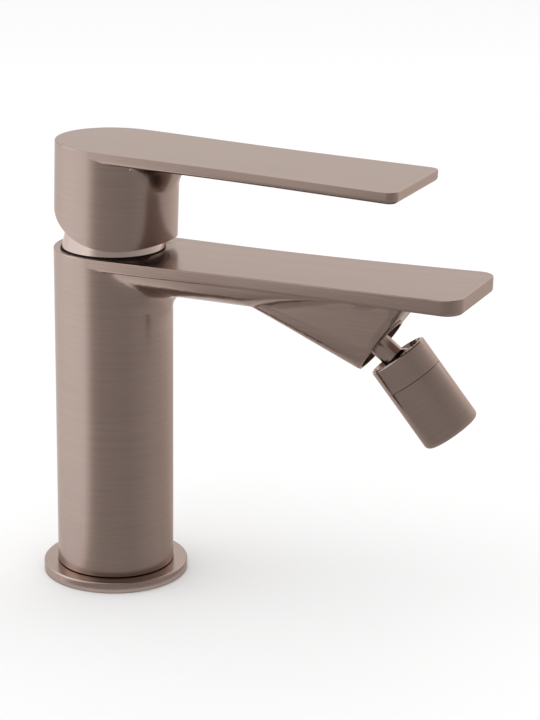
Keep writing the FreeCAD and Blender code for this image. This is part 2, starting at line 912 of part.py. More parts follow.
def sphere_zone(inner, outer, start_angle, end_angle):
    """A band of a spherical shell about Z, its angles counted from -Z."""
    def point(radius, degrees):
        angle = math.radians(degrees)
        return V(radius * math.sin(angle), 0, -radius * math.cos(angle))

    middle = (start_angle + end_angle) / 2
    edges = [
        Part.Arc(point(inner, start_angle), point(inner, middle), point(inner, end_angle)).toShape(),
        Part.LineSegment(point(inner, end_angle), point(outer, end_angle)).toShape(),
        Part.Arc(point(outer, end_angle), point(outer, middle), point(outer, start_angle)).toShape(),
        Part.LineSegment(point(outer, start_angle), point(inner, start_angle)).toShape(),
    ]
    return Part.Face(Part.Wire(edges)).revolve(V(0, 0, 0), Z_AXIS, 360)


def ball_liner():
    """The plastic liner round the ball, on the outlet's axis."""
    inner = ball_radius + film_clearance
    shape = sphere_zone(inner, inner + liner_thickness, liner_top_angle, liner_bottom_angle)
    shape.Placement = FreeCAD.Placement(ball_centre, outlet_frame.Rotation)
    return shape


def ball_seat():
    """The ring under the ball, hollowed to its curve."""
    shape = tube(
        spigot_bore_radius - running_clearance, seat_bore_radius, seat_top, seat_bottom - film_clearance
    )
    shape = shape.cut(Part.makeSphere(ball_radius + film_clearance))
    shape.Placement = casing_frame
    return shape


def ball_seal():
    """The rubber ring that presses the seat against the ball."""
    shape = tube(spigot_bore_radius - seat_clearance, casing_throat_radius, seat_bottom, casing_web_top)
    shape.Placement = casing_frame
    return shape


def aerator_collar():
    """The upper part of the casing, with a recessed mouth and a lip that holds the ball."""
    bottom = casing_seam
    thread = spigot_radius + thread_clearance
    hollow = ball_radius + 2 * film_clearance + liner_thickness + running_clearance
    shoulder = spigot_start - casing_seal_height
    shape = rod(casing_radius, -casing_mouth, bottom)
    lip_radius = math.sqrt(hollow ** 2 - lip_height ** 2)
    mouth_radius = casing_radius - mouth_wall
    mouth = revolved([
        (0, -casing_mouth - 1),
        (mouth_radius, -casing_mouth - 1),
        (mouth_radius, -casing_mouth + mouth_depth),
        (lip_radius, -lip_height),
        (0, -lip_height),
    ])
    cuts = [mouth, Part.makeSphere(hollow), rod(thread, shoulder, bottom + 1)]
    rim = []
    for edge in edges_at(shape, -casing_mouth - 0.01, -casing_mouth + 0.01):
        rim.append(edge)
    shape = shape.makeFillet(casing_mouth_round, rim).cut(cuts)
    shape.Placement = casing_frame
    return shape


def collar_seal():
    """The flat ring between collar and sleeve."""
    shape = tube(
        spigot_radius, spigot_bore_radius, spigot_start - casing_seal_height, spigot_start
    )
    shape.Placement = casing_frame
    return shape


def aerator_sleeve():
    """The lower part of the casing, screwed into the collar."""
    barrel = rod(casing_radius, casing_seam + seam_gap, casing_end)
    barrel = round_edges(barrel, casing_bottom_round, casing_end - 0.01, casing_end + 0.01)
    spigot = rod(spigot_radius, spigot_start, casing_seam + 1)
    shape = barrel.fuse(spigot).removeSplitter()
    shape = shape.cut([
        rod(spigot_bore_radius, spigot_start - 1, casing_web_top),
        rod(casing_throat_radius, casing_web_top - 1, aerator_seat + 1),
        rod(aerator_chamber_radius, aerator_seat, casing_end + 1),
    ])
    shape.Placement = casing_frame
    return shape


def aerator_washer():
    """The rubber washer above the aerator."""
    shape = tube(
        aerator_chamber_radius - thread_clearance,
        casing_throat_radius,
        aerator_seat,
        aerator_seat + aerator_washer_height,
    )
    shape.Placement = casing_frame
    return shape


def hole_field(radius, pitch, limit, low, high):
    """Round holes on a triangular grid, as many as fit inside a circle."""
    holes = []
    rows = int(limit / pitch) + 2
    for row in range(-rows, rows + 1):
        y = row * pitch * math.sqrt(0.75)
        for column in range(-rows, rows + 1):
            x = (column + 0.5 * (row % 2)) * pitch
            if math.hypot(x, y) + radius <= limit:
                holes.append(rod(radius, low, high, x, y))
    return holes


def aerator_screen():
    """The perforated metal screen."""
    low = aerator_seat + aerator_washer_height
    shape = rod(aerator_chamber_radius - thread_clearance, low, low + screen_height)
    field = hole_field(straightener_hole_radius, straightener_pitch, casing_throat_radius, low - 1, insert_end)
    shape = shape.cut(field)
    shape.Placement = casing_frame
    return shape


def aerator_insert():
    """The plastic cup of the aerator with crossed ribs inside."""
    low = aerator_seat + aerator_washer_height + screen_height
    outer = aerator_chamber_radius - thread_clearance
    bore = outer - insert_wall
    shape = tube(outer, bore, low, insert_end)
    rib_half = insert_wall / 4
    ribs = []
    for turn in (0, 60, 120):
        rib = box((-bore - 0.1, -rib_half, low), (bore + 0.1, rib_half, low + insert_rib_height))
        rib.rotate(V(0, 0, 0), Z_AXIS, turn)
        ribs.append(rib)
    shape = shape.fuse(ribs).removeSplitter()
    shape.Placement = casing_frame
    return shape


def flow_straightener():
    """The honeycomb disc at the aerator's mouth."""
    radius = aerator_chamber_radius - thread_clearance - insert_wall - seat_clearance
    low = insert_end - straightener_height
    shape = rod(radius, low, insert_end)
    field = hole_field(straightener_hole_radius, straightener_pitch, radius, low - 1, insert_end + 1)
    shape = shape.cut(field)
    shape.Placement = casing_frame
    return shape


# Heights and places that follow from the values above
plate_under = body_top - spout_thickness
plate_middle = body_top - spout_thickness / 2
belly_floor = plate_under - belly_depth
outlet_fall = math.radians(outlet_slope)
outlet_low_x = outlet_x - outlet_radius * math.sin(outlet_fall)
outlet_low_z = outlet_z - outlet_radius * math.cos(outlet_fall)
outlet_frame = FreeCAD.Placement(V(outlet_x, 0, outlet_z), FreeCAD.Rotation(Y_AXIS, 90 + outlet_slope))
ball_centre = outlet_frame.multVec(V(0, 0, ball_distance))
casing_pitch = math.radians(outlet_slope + swivel_pitch)
casing_yaw = math.radians(swivel_yaw)
casing_axis = V(
    math.cos(casing_pitch) * math.cos(casing_yaw),
    -math.sin(casing_yaw),
    -math.sin(casing_pitch) * math.cos(casing_yaw),
)
casing_frame = FreeCAD.Placement(ball_centre, FreeCAD.Rotation(Z_AXIS, casing_axis))
lever_frame = FreeCAD.Placement(V(0, 0, pivot_z), FreeCAD.Rotation(Y_AXIS, rest_droop))
base_top = cavity_floor + cartridge_base_height
fixed_disc_top = base_top + fixed_disc_thickness
moving_disc_top = fixed_disc_top + film_clearance + moving_disc_thickness
carrier_plate_top = moving_disc_top + carrier_plate_thickness
spindle_tip_x = -spindle_arm * math.sin(math.radians(rest_droop))
spindle_tip_z = pivot_z - spindle_arm * math.cos(math.radians(rest_droop))
carrier_block_top = spindle_tip_z + carrier_grip
slide_travel = spindle_arm * math.sin(math.radians(lift_angle - rest_droop)) - spindle_tip_x

SUB_PARTS = [
    body,
    base_flange,
    base_gasket,
    base_seal_ring,
    cartridge_base,
    base_seals,
    disc_seals,
    fixed_disc,
    moving_disc,
    disc_carrier,
    cartridge_housing,
    cartridge_o_ring,
    spindle_guide,
    spindle_pin,
    lever_spindle,
    cartridge_nut,
    trim_seal,
    trim_ring,
    handle,
    spindle_bush,
    handle_screw,
    screw_plug,
    ball_stem,
    outlet_washer,
    ball_liner,
    ball_seat,
    ball_seal,
    aerator_collar,
    collar_seal,
    aerator_sleeve,
    aerator_washer,
    aerator_screen,
    aerator_insert,
    flow_straightener,
]

os.makedirs("parts", exist_ok=True)
for make in SUB_PARTS:
    make().exportStep("parts/" + make.__name__ + ".step")
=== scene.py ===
import json
import math

import bmesh
import bpy
from mathutils import Matrix, Vector


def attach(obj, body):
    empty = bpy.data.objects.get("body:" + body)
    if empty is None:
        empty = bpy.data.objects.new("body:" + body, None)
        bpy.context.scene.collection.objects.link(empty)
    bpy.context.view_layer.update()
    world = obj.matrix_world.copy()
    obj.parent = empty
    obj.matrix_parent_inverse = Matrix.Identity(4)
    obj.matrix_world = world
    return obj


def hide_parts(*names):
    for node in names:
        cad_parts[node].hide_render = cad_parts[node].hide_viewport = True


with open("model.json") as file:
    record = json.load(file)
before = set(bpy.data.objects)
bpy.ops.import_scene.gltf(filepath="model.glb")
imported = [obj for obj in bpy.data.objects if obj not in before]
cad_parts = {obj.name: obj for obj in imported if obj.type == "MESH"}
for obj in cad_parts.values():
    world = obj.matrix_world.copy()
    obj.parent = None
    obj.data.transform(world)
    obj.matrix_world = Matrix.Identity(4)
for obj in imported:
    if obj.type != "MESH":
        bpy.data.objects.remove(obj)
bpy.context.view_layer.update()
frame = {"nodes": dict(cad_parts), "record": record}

slot_of = {part["node"]: part["material_slot"] for part in frame["record"]["subparts"]}
body_of = {
    node: body
    for body, nodes in frame["record"]["behaviour"]["bodies"].items()
    for node in nodes
}

# Places and directions on the tap, in metres, as the solids have them.
UPRIGHT = Vector((0.0, 0.0, 1.0))
COLUMN_CENTRE = Vector((0.0, 0.0, 0.0))
COLUMN_RADIUS = 0.0225
CUP_CENTRE = Vector((0.0009996, 0.0, 0.1329721))
CUP_AXIS = Vector((0.0279216, 0.0, 0.9996101))
CUP_RADIUS = 0.02325
BALL_CENTRE = Vector((0.1186790, 0.0, 0.0976412))
CASING_AXIS = Vector((0.6088241, 0.0915016, -0.7880106))
OUTLET_AXIS = Vector((0.8090170, 0.0, -0.5877853))

# The photograph's view: the camera's turn, drop and roll, its distance from the target, and how
# far it stands to the right and up.
VIEW_TURN = math.radians(23.44)
VIEW_DROP = math.radians(17.23)
VIEW_ROLL = math.radians(0.81)
VIEW_DISTANCE = 0.83206
VIEW_TARGET = Vector((0.0, 0.0, 0.075))
VIEW_RIGHT_SHIFT = 0.05948
VIEW_UP_SHIFT = 0.01003
FOCAL_PIXELS = 2167.73
PHOTO_HEIGHT = 720
SENSOR_WIDTH = 36.0
NEAREST_SEEN = 0.01

view_back = Vector((
    math.sin(VIEW_TURN) * math.cos(VIEW_DROP),
    -math.cos(VIEW_TURN) * math.cos(VIEW_DROP),
    math.sin(VIEW_DROP),
))
view_right = Vector((math.cos(VIEW_TURN), math.sin(VIEW_TURN), 0.0))
view_up = view_back.cross(view_right)


class Nodes:
    """A node tree in the making: it adds nodes and joins them to one another."""

    def __init__(self, tree):
        self.tree = tree

    def feed(self, socket, value):
        """Joins a socket to another node's output, or gives it a plain value."""
        if isinstance(value, bpy.types.NodeSocket):
            self.tree.links.new(value, socket)
        else:
            socket.default_value = value

    def add(self, kind, inputs, **settings):
        """Adds a node, with its inputs by name or by number, and returns it."""
        node = self.tree.nodes.new(kind)
        for name, value in settings.items():
            setattr(node, name, value)
        for name, value in inputs.items():
            self.feed(node.inputs[name], value)
        return node

    def sum_up(self, operation, *values):
        """The result of a sum with one or two values."""
        node = self.add("ShaderNodeMath", dict(enumerate(values)), operation=operation)
        return node.outputs[0]

    def plus(self, first, second):
        return self.sum_up("ADD", first, second)

    def times(self, first, second):
        return self.sum_up("MULTIPLY", first, second)

    def weighed(self, first, share, second):
        """The first value by its share and the second by the rest."""
        return self.plus(self.times(first, share), self.times(second, 1.0 - share))

    def taken_apart(self, place):
        """The X, Y and Z of a place or a direction."""
        return self.add("ShaderNodeSeparateXYZ", {"Vector": place}).outputs

    def put_together(self, **letters):
        """A place from its X, Y and Z, of which those left out are 0."""
        return self.add("ShaderNodeCombineXYZ", letters).outputs[0]


# How alike the rounded and the plain direction are on an open face, and on an edge.
EDGE_RANGE = (0.995, 0.90)
EDGE_SAMPLES = 6


class Finish(Nodes):
    """A surface finish in the making."""

    def __init__(self, name):
        self.material = bpy.data.materials.new(name)
        self.material.use_nodes = True
        super().__init__(self.material.node_tree)
        self.shader = self.tree.nodes["Principled BSDF"]
        coords = self.tree.nodes.new("ShaderNodeTexCoord")
        self.place = coords.outputs["Object"]
        self.facing = coords.outputs["Normal"]

    def set_shader(self, **inputs):
        for name, value in inputs.items():
            self.feed(self.shader.inputs[name.replace("_", " ")], value)

    def spread(self, value, low, high, new_low=0.0, new_high=1.0, smooth=False):
        """Spreads the values from low to high over the new range and holds the rest at its ends."""
        inputs = {0: value, 1: low, 2: high, 3: new_low, 4: new_high}
        kind = "SMOOTHSTEP" if smooth else "LINEAR"
        return self.add("ShaderNodeMapRange", inputs, interpolation_type=kind).outputs[0]

    def blend(self, factor, first, second):
        """One colour at factor 0 and the other at factor 1."""
        node = self.add("ShaderNodeMix", {0: factor, 6: first, 7: second}, data_type="RGBA")
        return node.outputs[2]

    def noise(self, place, scale, detail, roughness=0.5):
        inputs = {"Vector": place, "Scale": scale, "Detail": detail, "Roughness": roughness}
        return self.add("ShaderNodeTexNoise", inputs).outputs["Fac"]

    def moved(self, place, **change):
        """The place after a change of its Scale, Rotation or Location."""
        return self.add("ShaderNodeMapping", {"Vector": place, **change}).outputs["Vector"]

    def edges(self, width):
        """1 along the edges, 0 on open faces, softened over the given width."""
        rounded = self.add("ShaderNodeBevel", {"Radius": width}, samples=EDGE_SAMPLES)
        plain = self.add("ShaderNodeNewGeometry", {})
        alike = self.add(
            "ShaderNodeVectorMath",
            {0: rounded.outputs["Normal"], 1: plain.outputs["Normal"]},
            operation="DOT_PRODUCT",
        )
        return self.spread(alike.outputs["Value"], *EDGE_RANGE, smooth=True)

    def relief(self, height, strength, depth):
        inputs = {"Height": height, "Strength": strength, "Distance": depth}
        self.set_shader(Normal=self.add("ShaderNodeBump", inputs).outputs["Normal"])


# Brushing: how far its noise is squeezed each way, for level lines and for lines along x.
LINES_LEVEL = (85.0, 85.0, 5200.0)
LINES_ALONG_X = (38.0, 4200.0, 4200.0)
# The coarse and broad lines' squeeze, as a share of the fine ones', and how much each kind counts.
COARSE_SQUEEZE = 0.27
BROAD_SQUEEZE = 0.06
FINE_WEIGHT = 0.6
COARSE_WEIGHT = 0.4
BROAD_WEIGHT_LEVEL = 0.08
BROAD_WEIGHT_FORWARD = 0.4
# How level a face is where the lines along x begin, and where they have taken over.
FORWARD_RANGE = (0.55, 0.8)
# Lathe lines and the clouds among them. A noise has a scale, a detail and a roughness.
LATHE_SQUEEZE = (3200.0, 3200.0, 1.0)
LATHE_LINES = (1.0, 3.0, 0.6)
LATHE_CLOUDS = (260.0, 2.0, 0.5)
LATHE_LINES_SHARE = 0.75


def grain_along(finish, place, squeeze, broad_weight):
    """Fine, coarse and broad brushing lines, which run the way in which the squeeze is small."""
    narrow_weight = 1.0 - broad_weight
    lines = []
    for share, detail, weight in (
        (1.0, 2.0, FINE_WEIGHT * narrow_weight),
        (COARSE_SQUEEZE, 1.0, COARSE_WEIGHT * narrow_weight),
        (BROAD_SQUEEZE, 2.0, broad_weight),
    ):
        squeezed = finish.moved(place, Scale=tuple(value * share for value in squeeze))
        lines.append(finish.times(finish.noise(squeezed, 1.0, detail), weight))
    fine, coarse, broad = lines
    return finish.plus(finish.plus(fine, coarse), broad)


def grain_level_then_forward(finish):
    """Level lines round the upright faces, and lines along the lever or spout on the level ones."""
    levelness = finish.sum_up("ABSOLUTE", finish.taken_apart(finish.facing)["Z"])
    steep = finish.spread(levelness, *FORWARD_RANGE, 1.0, 0.0, smooth=True)
    level = grain_along(finish, finish.place, LINES_LEVEL, BROAD_WEIGHT_LEVEL)
    forward = grain_along(finish, finish.place, LINES_ALONG_X, BROAD_WEIGHT_FORWARD)
    mixed = finish.add("ShaderNodeMix", {0: steep, 2: forward, 3: level}, data_type="FLOAT")
    return mixed.outputs[0]


def grain_turned(finish):
    """Lathe lines that run round the upright axis."""
    flat_place = finish.moved(finish.place, Scale=(1.0, 1.0, 0.0))
    radius = finish.add("ShaderNodeVectorMath", {0: flat_place}, operation="LENGTH")
    height = finish.taken_apart(finish.place)["Z"]
    round_place = finish.put_together(X=radius.outputs["Value"], Y=height)
    lines = finish.noise(finish.moved(round_place, Scale=LATHE_SQUEEZE), *LATHE_LINES)
    return finish.weighed(lines, LATHE_LINES_SHARE, finish.noise(finish.place, *LATHE_CLOUDS))


def grain_round_axis(finish, axis):
    """Level lines round a tilted axis through the ball's centre."""
    to_upright = axis.rotation_difference(UPRIGHT).to_euler()
    from_ball = finish.moved(finish.place, Location=tuple(-value for value in BALL_CENTRE))
    turned = finish.moved(from_ball, Rotation=tuple(to_upright))
    return grain_along(finish, turned, LINES_LEVEL, BROAD_WEIGHT_LEVEL)


def grain_casing(finish):
    return grain_round_axis(finish, CASING_AXIS)


def grain_neck(finish):
    return grain_round_axis(finish, OUTLET_AXIS)


# The dark, light and worn tone of each finish. On the brushed bronzes the worn tone is partly a
# painted edge highlight.
BRONZE_TONES = ((0.414, 0.324, 0.288), (0.474, 0.380, 0.341), (0.560, 0.465, 0.420))
# The trim ring's tones are lighter than the body's bronze: a painted highlight on the ring.
TRIM_PAINTED_HIGHLIGHT_TONES = ((0.640, 0.525, 0.475), (0.720, 0.600, 0.550), (0.800, 0.690, 0.640))
BRASS_TONES = ((0.60, 0.42, 0.17), (0.78, 0.58, 0.28), (0.88, 0.72, 0.42))
STEEL_TONES = ((0.44, 0.44, 0.45), (0.60, 0.60, 0.61), (0.75, 0.75, 0.76))
RUBBER_TONES = ((0.012, 0.012, 0.013), (0.028, 0.028, 0.029), (0.06, 0.06, 0.06))
GREY_TONES = ((0.20, 0.21, 0.22), (0.28, 0.29, 0.30), (0.40, 0.41, 0.42))
WHITE_TONES = ((0.66, 0.66, 0.64), (0.76, 0.76, 0.74), (0.84, 0.84, 0.83))
DARK_TONES = ((0.10, 0.075, 0.066), (0.15, 0.115, 0.10), (0.24, 0.19, 0.17))
CERAMIC_TONES = ((0.74, 0.73, 0.70), (0.82, 0.81, 0.78), (0.88, 0.88, 0.86))

# A noise keeps near its middle, so only this part of it is spread over a whole range.
CLOUD_RANGE = (0.3, 0.7)
ROUGH_RANGE = (0.3, 0.7)

BRONZE_CLOUDS = (34.0, 3.0, 0.55)
BRONZE_PATCHES = (420.0, 3.0, 0.5)
BRONZE_PATCH_RANGE = (0.38, 0.62)
BRONZE_LINES_RANGE = (0.34, 0.66)
BRONZE_LINES_SHARE = 0.72
BRONZE_WEAR_AND_HIGHLIGHT = 0.2
# How far the lines and the clouds make the bronze smoother and rougher.
BRONZE_LINES_ROUGH = (-0.02, 0.025)
BRONZE_CLOUDS_ROUGH = (-0.01, 0.015)
BRONZE_RELIEF = 0.06
BRONZE_DEPTH = 0.000003
BRONZE_GLANCING = (0.80, 0.755, 0.72)
# Painted shade in deep corners and gaps: its tone, its reach, and how open a point is at the fully
# shaded and at the unshaded end.
CREVICE_SHADE_TONE = (0.090, 0.060, 0.050)
CREVICE_SHADE_REACH = 0.0012
CREVICE_SHADE_RANGE = (0.3, 0.75)
CREVICE_SHADE_SAMPLES = 8


def opaque(tone):
    return (*tone, 1.0)


def brushed_bronze(name, make_grain, roughness, wear_and_highlight_width, tones):
    """Brushed bronze: lines and clouds, painted shade in deep corners and gaps, and edges rubbed
    lighter, partly wear and partly a painted edge highlight.
    """
    finish = Finish(name)
    dark, light, rubbed = map(opaque, tones)
    lines = make_grain(finish)
    clouds = finish.noise(finish.place, *BRONZE_CLOUDS)
    line_tone = finish.spread(lines, *BRONZE_LINES_RANGE)
    tone = finish.weighed(line_tone, BRONZE_LINES_SHARE, finish.spread(clouds, *CLOUD_RANGE))
    patches = finish.spread(finish.noise(finish.place, *BRONZE_PATCHES), *BRONZE_PATCH_RANGE)
    # Edges rubbed lighter in patches: partly wear, partly a painted edge highlight.
    worn = finish.times(finish.times(finish.edges(wear_and_highlight_width), patches), BRONZE_WEAR_AND_HIGHLIGHT)
    # Painted shade: the colour darkens towards the crevice tone where ambient occlusion finds deep
    # corners and gaps between parts.
    reach = {"Distance": CREVICE_SHADE_REACH}
    open_air = finish.add("ShaderNodeAmbientOcclusion", reach, samples=CREVICE_SHADE_SAMPLES)
    clear = finish.spread(open_air.outputs["AO"], *CREVICE_SHADE_RANGE, smooth=True)
    metal = finish.blend(worn, finish.blend(tone, dark, light), rubbed)
    smoother, rougher = BRONZE_LINES_ROUGH
    finish.set_shader(
        Base_Color=finish.blend(clear, opaque(CREVICE_SHADE_TONE), metal),
        Roughness=finish.plus(
            finish.spread(lines, *ROUGH_RANGE, roughness + smoother, roughness + rougher),
            finish.spread(clouds, *ROUGH_RANGE, *BRONZE_CLOUDS_ROUGH),
        ),
        Metallic=1.0,
        Specular_Tint=opaque(BRONZE_GLANCING),
    )
    finish.relief(lines, BRONZE_RELIEF, BRONZE_DEPTH)
    return finish.material


MACHINED_CLOUDS = (90.0, 4.0, 0.6)
MACHINED_LINES_RANGE = (0.35, 0.65)
MACHINED_LINES_SHARE = 0.5
MACHINED_WEAR_WIDTH = 0.0004
MACHINED_WEAR = 0.6
MACHINED_ROUGH = (-0.06, 0.08)
MACHINED_RELIEF = 0.5
MACHINED_DEPTH = 0.00002


def machined_metal(name, roughness, tones):
    """Bare turned metal: lathe lines round the axis, a cloudy tone and brighter edges."""
    finish = Finish(name)
    dark, light, rubbed = map(opaque, tones)
    lines = grain_turned(finish)
    line_tone = finish.spread(lines, *MACHINED_LINES_RANGE)
    clouds = finish.spread(finish.noise(finish.place, *MACHINED_CLOUDS), *CLOUD_RANGE)
    tone = finish.weighed(line_tone, MACHINED_LINES_SHARE, clouds)
    worn = finish.times(finish.edges(MACHINED_WEAR_WIDTH), MACHINED_WEAR)
    smoother, rougher = MACHINED_ROUGH
    finish.set_shader(
        Base_Color=finish.blend(worn, finish.blend(tone, dark, light), rubbed),
        Roughness=finish.spread(lines, *ROUGH_RANGE, roughness + smoother, roughness + rougher),
        Metallic=1.0,
    )
    finish.relief(lines, MACHINED_RELIEF, MACHINED_DEPTH)
    return finish.material


SPECKLE_DETAIL = 3.0
SPECKLE_ROUGHNESS = 0.6
MOULDED_CLOUDS = (110.0, 3.0, 0.5)
MOULDED_SPECKLE_SHARE = 0.5
MOULDED_RANGE = (0.36, 0.64)
MOULDED_WEAR_WIDTH = 0.0003
MOULDED_WEAR = 0.5
MOULDED_ROUGH = (-0.05, 0.07)
MOULDED_RELIEF = 0.4


def moulded(name, roughness, speckle, depth, tones):
    """Moulded or pressed stuff: a fine speckle, a cloudy tone, rubbed edges and a faint grain."""
    finish = Finish(name)
    dark, light, rubbed = map(opaque, tones)
    fine = finish.noise(finish.place, speckle, SPECKLE_DETAIL, SPECKLE_ROUGHNESS)
    clouds = finish.noise(finish.place, *MOULDED_CLOUDS)
    tone = finish.weighed(fine, MOULDED_SPECKLE_SHARE, clouds)
    plain = finish.blend(finish.spread(tone, *MOULDED_RANGE), dark, light)
    worn = finish.times(finish.edges(MOULDED_WEAR_WIDTH), MOULDED_WEAR)
    smoother, rougher = MOULDED_ROUGH
    finish.set_shader(
        Base_Color=finish.blend(worn, plain, rubbed),
        Roughness=finish.spread(tone, *MOULDED_RANGE, roughness + smoother, roughness + rougher),
    )
    finish.relief(fine, MOULDED_RELIEF, depth)
    return finish.material


# Brushed: the grain, the roughness, the width of the edges rubbed lighter (partly wear, partly a
# painted highlight) and the tones.
BRUSHED = {
    "bronze_body": (grain_level_then_forward, 0.23, 0.0005, BRONZE_TONES),
    "bronze_handle": (grain_level_then_forward, 0.23, 0.0005, BRONZE_TONES),
    "bronze_flange": (grain_turned, 0.23, 0.0005, BRONZE_TONES),
    "bronze_trim": (grain_turned, 0.13, 0.0005, TRIM_PAINTED_HIGHLIGHT_TONES),
    "bronze_casing": (grain_casing, 0.15, 0.0003, BRONZE_TONES),
    "bronze_neck": (grain_neck, 0.15, 0.0003, BRONZE_TONES),
}
# Machined: the roughness and the tones.
MACHINED = {
    "plain_brass": (0.3, BRASS_TONES),
    "steel": (0.28, STEEL_TONES),
}
# Moulded: the roughness, how fine the speckle is, how deep the grain is and the tones.
MOULDED = {
    "black_rubber": (0.62, 2400.0, 0.00003, RUBBER_TONES),
    "grey_plastic": (0.42, 1800.0, 0.00001, GREY_TONES),
    "white_plastic": (0.36, 1800.0, 0.00001, WHITE_TONES),
    "dark_plastic": (0.4, 1800.0, 0.00001, DARK_TONES),
    "disc_ceramic": (0.24, 5200.0, 0.000005, CERAMIC_TONES),
}
finishes = {
    **{name: brushed_bronze(name, *about) for name, about in BRUSHED.items()},
    **{name: machined_metal(name, *about) for name, about in MACHINED.items()},
    **{name: moulded(name, *about) for name, about in MOULDED.items()},
}

# Which finish a solid takes, where it differs from the record's slot.
special_finish = {
    "base_flange": "bronze_flange",
    "trim_ring": "bronze_trim",
    "ball_stem": "bronze_neck",
    "aerator_collar": "bronze_casing",
    "aerator_sleeve": "bronze_casing",
}


def new_object(name, data):
    """A new object in the scene, made of the given mesh, lamp or camera."""
    thing = bpy.data.objects.new(name, data)
    bpy.context.scene.collection.objects.link(thing)
    return thing


def new_piece(name, mesh, finish_name):
    """A new object with one of the finishes."""
    mesh.materials.clear()
    mesh.materials.append(finishes[finish_name])
    return new_object(name, mesh)


# Points nearer than this, in metres, become one point, and edges sharper than this, in degrees,
# stay sharp. Large faces count more than small ones in the shading, by this weight.
SAME_POINT = 0.000002
CREASE = 30.0
EVEN_SHADING = 70


def smooth_copy(node):
    """The solid's own shape, with its round faces shaded smooth and its flat faces kept flat."""
    mesh = frame["nodes"][node].data.copy()
    shape = bmesh.new()
    shape.from_mesh(mesh)
    bmesh.ops.remove_doubles(shape, verts=shape.verts, dist=SAME_POINT)
    shape.to_mesh(mesh)
    shape.free()
    mesh.polygons.foreach_set("use_smooth", [True] * len(mesh.polygons))
    mesh.set_sharp_from_angle(angle=math.radians(CREASE))
    piece = new_piece(node + "_finished", mesh, special_finish.get(node, slot_of[node]))
    weighted = piece.modifiers.new("even_shading", "WEIGHTED_NORMAL")
    weighted.keep_sharp = True
    weighted.weight = EVEN_SHADING
    return piece


def settle(piece):
    """Turns what the modifiers give into the piece's own mesh."""
    bpy.context.view_layer.update()
    seen = piece.evaluated_get(bpy.context.evaluated_depsgraph_get())
    result = bpy.data.meshes.new_from_object(seen)
    piece.modifiers.clear()
    piece.data = result


# The round walls that are cut by other forms: a point on the axis, the axis and the radius.
ROUND_WALLS = {
    "body": (COLUMN_CENTRE, UPRIGHT, COLUMN_RADIUS),
    "handle": (CUP_CENTRE, CUP_AXIS, CUP_RADIUS),
}
# How near a point has to be to the wall, and how well its face has to follow the wall.
ON_WALL = 0.00003
ALONG_WALL = 0.97


def true_round_wall(piece, centre, axis, radius):
    """Shades a round wall by its true direction, also where its faces are long and thin."""
    mesh = piece.data
    directions = [Vector(corner.vector) for corner in mesh.corner_normals]
    for face in mesh.polygons:
        for corner in face.loop_indices:
            arm = mesh.vertices[mesh.loops[corner].vertex_index].co - centre
            across = arm - axis * arm.dot(axis)
            outward = across.normalized()
            if abs(across.length - radius) < ON_WALL and face.normal.dot(outward) > ALONG_WALL:
                directions[corner] = outward
    mesh.normals_split_custom_set(directions)


def put_on(piece, node):
    """Stands the piece in for the solid, on the solid's own body."""
    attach(piece, body_of[node])
    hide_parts(node)


class Growth(Nodes):
    """A geometry tree in the making, with its sizes as named inputs."""

    def __init__(self, name, sizes):
        super().__init__(bpy.data.node_groups.new(name, "GeometryNodeTree"))
        sockets = self.tree.interface
        for size in sizes:
            sockets.new_socket(size, in_out="INPUT", socket_type="NodeSocketFloat")
        sockets.new_socket("Geometry", in_out="OUTPUT", socket_type="NodeSocketGeometry")
        self.sizes = self.tree.nodes.new("NodeGroupInput").outputs
        self.result = self.tree.nodes.new("NodeGroupOutput").inputs

    def circle(self, sides, radius):
        inputs = {"Resolution": sides, "Radius": radius}
        return self.add("GeometryNodeCurvePrimitiveCircle", inputs).outputs[0]

    def bar(self, path, section, closed_ends):
        """A bar along the path, with the given section."""
        inputs = {"Curve": path, "Profile Curve": section, "Fill Caps": closed_ends}
        return self.add("GeometryNodeCurveToMesh", inputs).outputs[0]

    def joined(self, pieces):
        node = self.add("GeometryNodeJoinGeometry", {})
        for piece in pieces:
            self.feed(node.inputs[0], piece)
        return node.outputs[0]

    def give(self, geometry, finish_name):
        """Dresses the geometry and makes it the tree's result."""
        real = self.add("GeometryNodeRealizeInstances", {"Geometry": geometry})
        dress = {"Geometry": real.outputs[0], "Material": finishes[finish_name]}
        dressed = self.add("GeometryNodeSetMaterial", dress)
        shaded = self.add("GeometryNodeSetShadeSmooth", {0: dressed.outputs[0]})
        self.feed(self.result["Geometry"], shaded.outputs[0])


THREAD_POINTS = 48
THREAD_SIDES = 3


def thread_tree():
    """A screw thread's ridge: a three-sided bar wound on the wall of a hole."""
    ridge = Growth("thread_ridge_plain_brass", ("Radius", "Length", "Pitch", "Ridge"))
    sizes = ridge.sizes
    spiral = ridge.add("GeometryNodeCurveSpiral", {
        "Resolution": THREAD_POINTS,
        "Rotations": ridge.sum_up("DIVIDE", sizes["Length"], sizes["Pitch"]),
        "Start Radius": sizes["Radius"],
        "End Radius": sizes["Radius"],
        "Height": sizes["Length"],
    })
    section = ridge.circle(THREAD_SIDES, sizes["Ridge"])
    ridge.give(ridge.bar(spiral.outputs[0], section, True), "plain_brass")
    return ridge.tree


WIRE_SIDES = 6
# The step from point to point along a wire, as a share of the pitch.
WIRE_STEP = 0.25
RIM_POINTS = 96
RIM_SIDES = 10
# The rim's radius, in wire radii.
RIM_THICKNESS = 1.9


